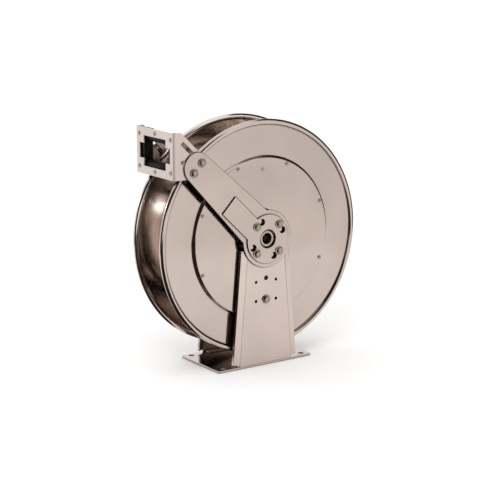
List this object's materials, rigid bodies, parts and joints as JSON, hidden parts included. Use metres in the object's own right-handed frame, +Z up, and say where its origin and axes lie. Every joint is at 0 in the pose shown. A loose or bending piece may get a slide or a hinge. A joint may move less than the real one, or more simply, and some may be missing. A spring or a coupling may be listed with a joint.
{
  "type": "fire hose reel",
  "caption": "Spring-rewind hose reel: two pedestals, a spool between spun steel side discs, flat guide arms and a roller guide box.",
  "frame": {"origin": "centre of the four mounting holes, on the underside of the base plate", "axes": "+Z up; the spool turns about an axis along Y; the guide box is towards -X and the open front of the hub is towards -Y"},
  "size_m": [0.5699, 0.247, 0.6],
  "materials": {
    "base_steel": "bright polished stainless sheet",
    "arm_steel": "bright polished stainless plate",
    "disc_steel": "spun and polished stainless sheet",
    "bolt_steel": "bright stainless fasteners",
    "plain_steel": "dull machined steel",
    "bearing_bronze": "sintered bronze",
    "fitting_brass": "machined brass",
    "roller_nylon": "black moulded nylon",
    "seal_rubber": "black rubber"
  },
  "bodies": {
    "frame": {"base_plate": "base_steel", "front_pedestal": "base_steel", "rear_pedestal": "base_steel", "front_guide_arm": "arm_steel", "rear_guide_arm": "arm_steel", "front_hub_plate": "arm_steel", "rear_hub_plate": "arm_steel", "roller_bracket": "arm_steel", "roller_cage": "roller_nylon", "cage_retainers": "bolt_steel", "roller_pins": "bolt_steel", "cage_rivets": "bolt_steel", "arm_end_bolts": "bolt_steel", "arm_end_nuts": "bolt_steel", "front_hub_bolts": "bolt_steel", "rear_hub_bolts": "bolt_steel", "spring_arbor": "plain_steel", "front_bearing": "bearing_bronze", "rear_bearing_housing": "plain_steel", "rear_bearing": "bearing_bronze", "pawl_bolt": "bolt_steel", "pawl_spacer": "bolt_steel", "pawl_retainer": "bolt_steel", "pawl_spring": "bolt_steel"},
    "spool": {"main_shaft": "bolt_steel", "shaft_plug": "plain_steel", "hub_flange": "plain_steel", "hub_flange_bolts": "bolt_steel", "thrust_washer": "bearing_bronze", "front_disc": "disc_steel", "rear_disc": "disc_steel", "drum": "disc_steel", "front_disc_screws": "bolt_steel", "rear_disc_screws": "bolt_steel", "spring_case": "plain_steel", "power_spring": "plain_steel", "spring_anchor": "bolt_steel", "ratchet_wheel": "plain_steel", "ratchet_rivets": "bolt_steel", "outlet_riser": "bolt_steel", "outlet_elbow": "fitting_brass"},
    "top_roller": {"top_roller": "roller_nylon"},
    "bottom_roller": {"bottom_roller": "roller_nylon"},
    "front_roller": {"front_roller": "roller_nylon"},
    "rear_roller": {"rear_roller": "roller_nylon"},
    "latch_pawl": {"latch_pawl": "plain_steel"},
    "inlet_swivel": {"inlet_swivel": "fitting_brass", "swivel_cap": "fitting_brass", "swivel_seals": "seal_rubber", "swivel_circlip": "plain_steel"}
  },
  "joints": [
    {"name": "spool_spin", "type": "hinge", "parent": "frame", "child": "spool", "pos_m": [0, 0, 0.315], "axis": [0, 1, 0], "continuous": true},
    {"name": "top_roller_spin", "type": "hinge", "parent": "frame", "child": "top_roller", "pos_m": [-0.2427, 0, 0.56919], "axis": [0, 1, 0], "continuous": true},
    {"name": "bottom_roller_spin", "type": "hinge", "parent": "frame", "child": "bottom_roller", "pos_m": [-0.2427, 0, 0.50019], "axis": [0, 1, 0], "continuous": true},
    {"name": "front_roller_spin", "type": "hinge", "parent": "frame", "child": "front_roller", "pos_m": [-0.2427, -0.057, 0.53469], "axis": [0, 0, 1], "continuous": true},
    {"name": "rear_roller_spin", "type": "hinge", "parent": "frame", "child": "rear_roller", "pos_m": [-0.2427, 0.057, 0.53469], "axis": [0, 0, 1], "continuous": true},
    {"name": "latch_pawl_swing", "type": "hinge", "parent": "frame", "child": "latch_pawl", "pos_m": [0, -0.073, 0.165], "axis": [0, 1, 0], "range_deg": [0, 30], "stiffness_Nm_per_rad": 0.15, "springref_deg": -28.65, "deforming": ["pawl_spring"]},
    {"name": "inlet_swivel_spin", "type": "hinge", "parent": "spool", "child": "inlet_swivel", "pos_m": [0, 0.105, 0.315], "axis": [0, 1, 0], "continuous": true}
  ]
}
